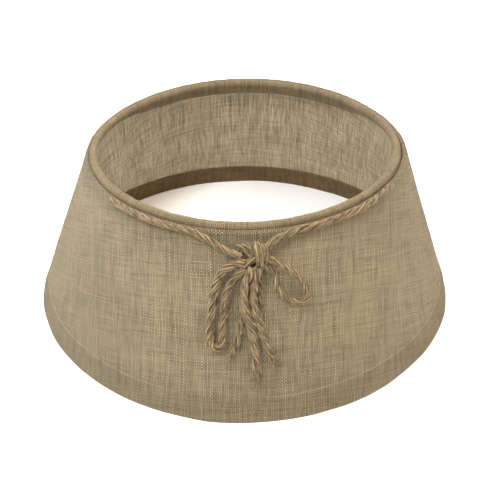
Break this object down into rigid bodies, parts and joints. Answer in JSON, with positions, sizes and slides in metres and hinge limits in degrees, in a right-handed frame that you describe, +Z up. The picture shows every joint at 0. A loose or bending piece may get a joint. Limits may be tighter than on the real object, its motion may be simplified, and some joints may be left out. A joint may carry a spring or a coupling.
{
  "type": "burlap tree collar",
  "caption": "Free-standing cone-shaped burlap collar that hides a tree stand, open at top and bottom, with a jute rope bow under its rolled rim.",
  "frame": {"origin": "middle of the floor circle that the hem stands on", "axes": "+Z up along the collar's axis; -Y towards the bow, the front; +X to the right seen from the front"},
  "size_m": [0.66, 0.66, 0.2601],
  "materials": {
    "burlap": "plain-weave jute cloth, natural, slubby",
    "binding": "plain-weave jute strip, folded",
    "rope": "laid jute rope, hairy",
    "thread": "cotton sewing thread",
    "wire": "drawn spring wire",
    "ferrule": "crimped tube",
    "stay": "flat spring steel",
    "tip": "dipped white plastic",
    "tape": "woven cotton tape",
    "padding": "closed-cell foam"
  },
  "bodies": {
    "root": {"front_panel": "burlap", "back_panel": "burlap", "rim_binding": "binding", "rim_padding": "padding", "top_hoop": "wire", "top_hoop_ferrule": "ferrule", "bottom_hoop": "wire", "bottom_hoop_ferrule": "ferrule", "left_stay": "stay", "right_stay": "stay", "left_stay_tips": "tip", "right_stay_tips": "tip", "left_stay_pocket": "tape", "right_stay_pocket": "tape", "left_seam_stitching": "thread", "right_seam_stitching": "thread", "rim_stitching": "thread", "hem_stitching": "thread", "bow_knot": "rope", "left_arm": "rope", "right_arm": "rope", "left_loop": "rope", "right_loop": "rope", "left_tail": "rope", "right_tail": "rope", "long_back_end": "rope", "short_back_end": "rope"}
  },
  "joints": []
}
